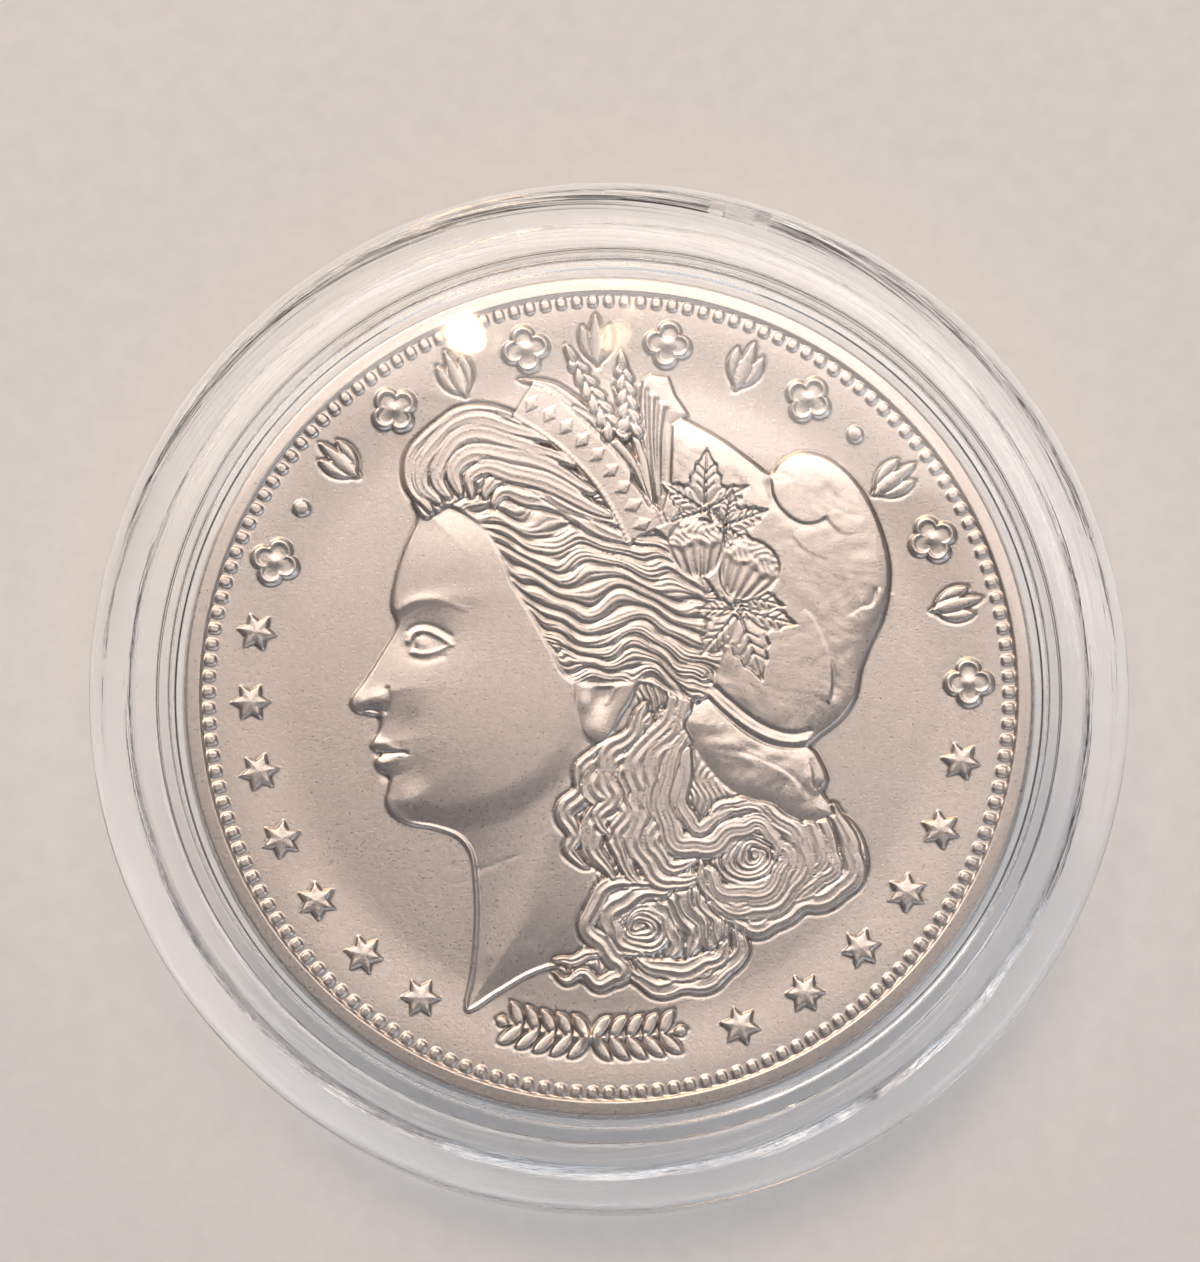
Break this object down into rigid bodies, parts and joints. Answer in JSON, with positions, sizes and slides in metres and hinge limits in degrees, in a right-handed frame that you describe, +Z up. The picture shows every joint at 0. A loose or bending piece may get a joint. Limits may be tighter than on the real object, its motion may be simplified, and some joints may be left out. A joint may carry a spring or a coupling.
{
  "type": "coin capsule",
  "caption": "Round clear press-fit capsule of two moulded shells that holds one large silver coin, with flat windows and raised stacking rings.",
  "frame": {"origin": "centre of the base shell's foot ring, in the plane it stands on", "axes": "+Z up along the capsule's axis, from the base shell to the lid; +Y towards the top of the coin's design; +X to the right of it"},
  "size_m": [0.0464, 0.0464, 0.006],
  "materials": {
    "base_acrylic": "clear, polished",
    "lid_acrylic": "clear, polished",
    "silver": "satin struck silver"
  },
  "bodies": {
    "base": {"base_shell": "base_acrylic"},
    "lid": {"lid_shell": "lid_acrylic"},
    "coin": {"coin": "silver"}
  },
  "joints": [
    {"name": "lid_lift", "type": "slide", "parent": "base", "child": "lid", "axis": [0, 0, 1], "range_m": [0, 0.03]},
    {"name": "coin_lift", "type": "slide", "parent": "base", "child": "coin", "axis": [0, 0, 1], "range_m": [0, 0.015]}
  ],
  "couplings": [
    {"joint": "coin_lift", "follows": "lid_lift", "ratio": 0.5}
  ]
}
